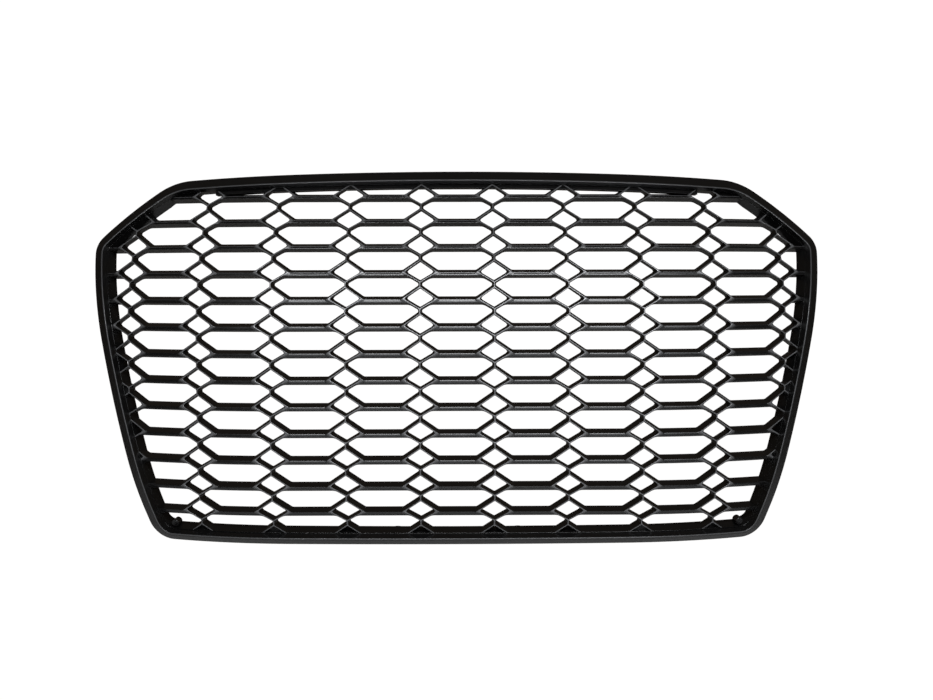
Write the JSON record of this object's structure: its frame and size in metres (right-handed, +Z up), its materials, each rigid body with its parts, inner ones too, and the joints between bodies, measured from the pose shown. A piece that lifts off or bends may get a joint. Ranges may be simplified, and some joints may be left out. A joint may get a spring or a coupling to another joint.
{
  "type": "front grille",
  "caption": "Car front grille: a bowed black honeycomb of wide and diamond openings in a rounded surround, on a rear frame with bolt tabs and spring clips.",
  "frame": {"origin": "centre of the upper bolt line, on the top face of the upper tabs", "axes": "+X to the right seen from the front, +Y to the rear of the car, +Z up along the upper bolts"},
  "size_m": [0.9668, 0.1887, 0.4876],
  "materials": {
    "surround_plastic": "satin black moulded plastic",
    "honeycomb_plastic": "satin black moulded plastic with fine grain",
    "carrier_plastic": "plain dull black glass-filled plastic",
    "black_screw_steel": "black coated steel",
    "spring_steel": "grey phosphated spring steel",
    "foam": "closed-cell foam strip"
  },
  "bodies": {
    "root": {"surround_trim": "surround_plastic", "carrier_frame": "carrier_plastic", "honeycomb_insert": "honeycomb_plastic", "insert_screws": "black_screw_steel", "upper_nut_clip_inner_right": "spring_steel", "lower_nut_clip_inner_right": "spring_steel", "upper_nut_clip_outer_right": "spring_steel", "lower_nut_clip_outer_right": "spring_steel", "side_spring_clip_upper_right": "spring_steel", "side_spring_clip_lower_right": "spring_steel", "top_foam_right": "foam", "side_foam_right": "foam", "upper_nut_clip_inner_left": "spring_steel", "lower_nut_clip_inner_left": "spring_steel", "upper_nut_clip_outer_left": "spring_steel", "lower_nut_clip_outer_left": "spring_steel", "side_spring_clip_upper_left": "spring_steel", "side_spring_clip_lower_left": "spring_steel", "top_foam_left": "foam", "side_foam_left": "foam"}
  },
  "joints": []
}
